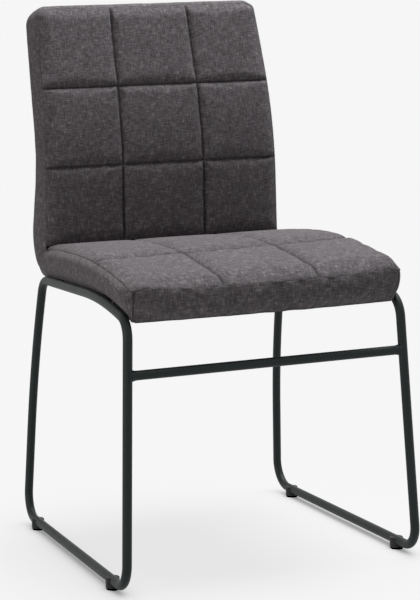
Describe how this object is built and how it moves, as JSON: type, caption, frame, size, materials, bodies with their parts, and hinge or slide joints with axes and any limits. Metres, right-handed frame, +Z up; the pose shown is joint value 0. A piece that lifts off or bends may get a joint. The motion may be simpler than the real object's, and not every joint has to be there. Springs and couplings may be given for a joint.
{
  "type": "dining chair",
  "caption": "Armless dining chair: quilted upholstered seat and back on a bent plywood shell, carried by a sled frame of bent round tube with a front stretcher.",
  "frame": {"origin": "on the floor, under the middle of the chair's box", "axes": "+Z up, the sitter faces -Y; left and right in the names are as seen from the front, left at -X"},
  "size_m": [0.4862, 0.545, 0.8616],
  "materials": {
    "frame_paint": "satin black powder coat over steel tube and flat bar",
    "glide_plastic": "black moulded plastic, lightly grained",
    "hardware_steel": "bright zinc plate",
    "plywood": "raw bent beech plywood, hidden under the cover",
    "foam": "cut upholstery foam, hidden under the cover",
    "upholstery": "charcoal melange plain weave, quilted, seams sewn in the cloth's own colour",
    "underside_cloth": "black nonwoven dust cloth, stapled"
  },
  "bodies": {
    "root": {"left_side_frame": "frame_paint", "right_side_frame": "frame_paint", "front_stretcher": "frame_paint", "front_cross_bar": "frame_paint", "rear_cross_bar": "frame_paint", "weld_beads": "frame_paint", "front_left_glide": "glide_plastic", "front_right_glide": "glide_plastic", "rear_left_glide": "glide_plastic", "rear_right_glide": "glide_plastic", "seat_bolts": "hardware_steel", "washers": "hardware_steel", "spring_washers": "hardware_steel", "tee_nuts": "hardware_steel", "plywood_shell": "plywood", "seat_foam": "foam", "back_foam": "foam", "rear_padding": "foam", "seat_cover": "upholstery", "back_cover": "upholstery", "side_boxing": "upholstery", "front_boxing": "upholstery", "rear_cover": "upholstery", "underside_cover": "underside_cloth"}
  },
  "joints": []
}
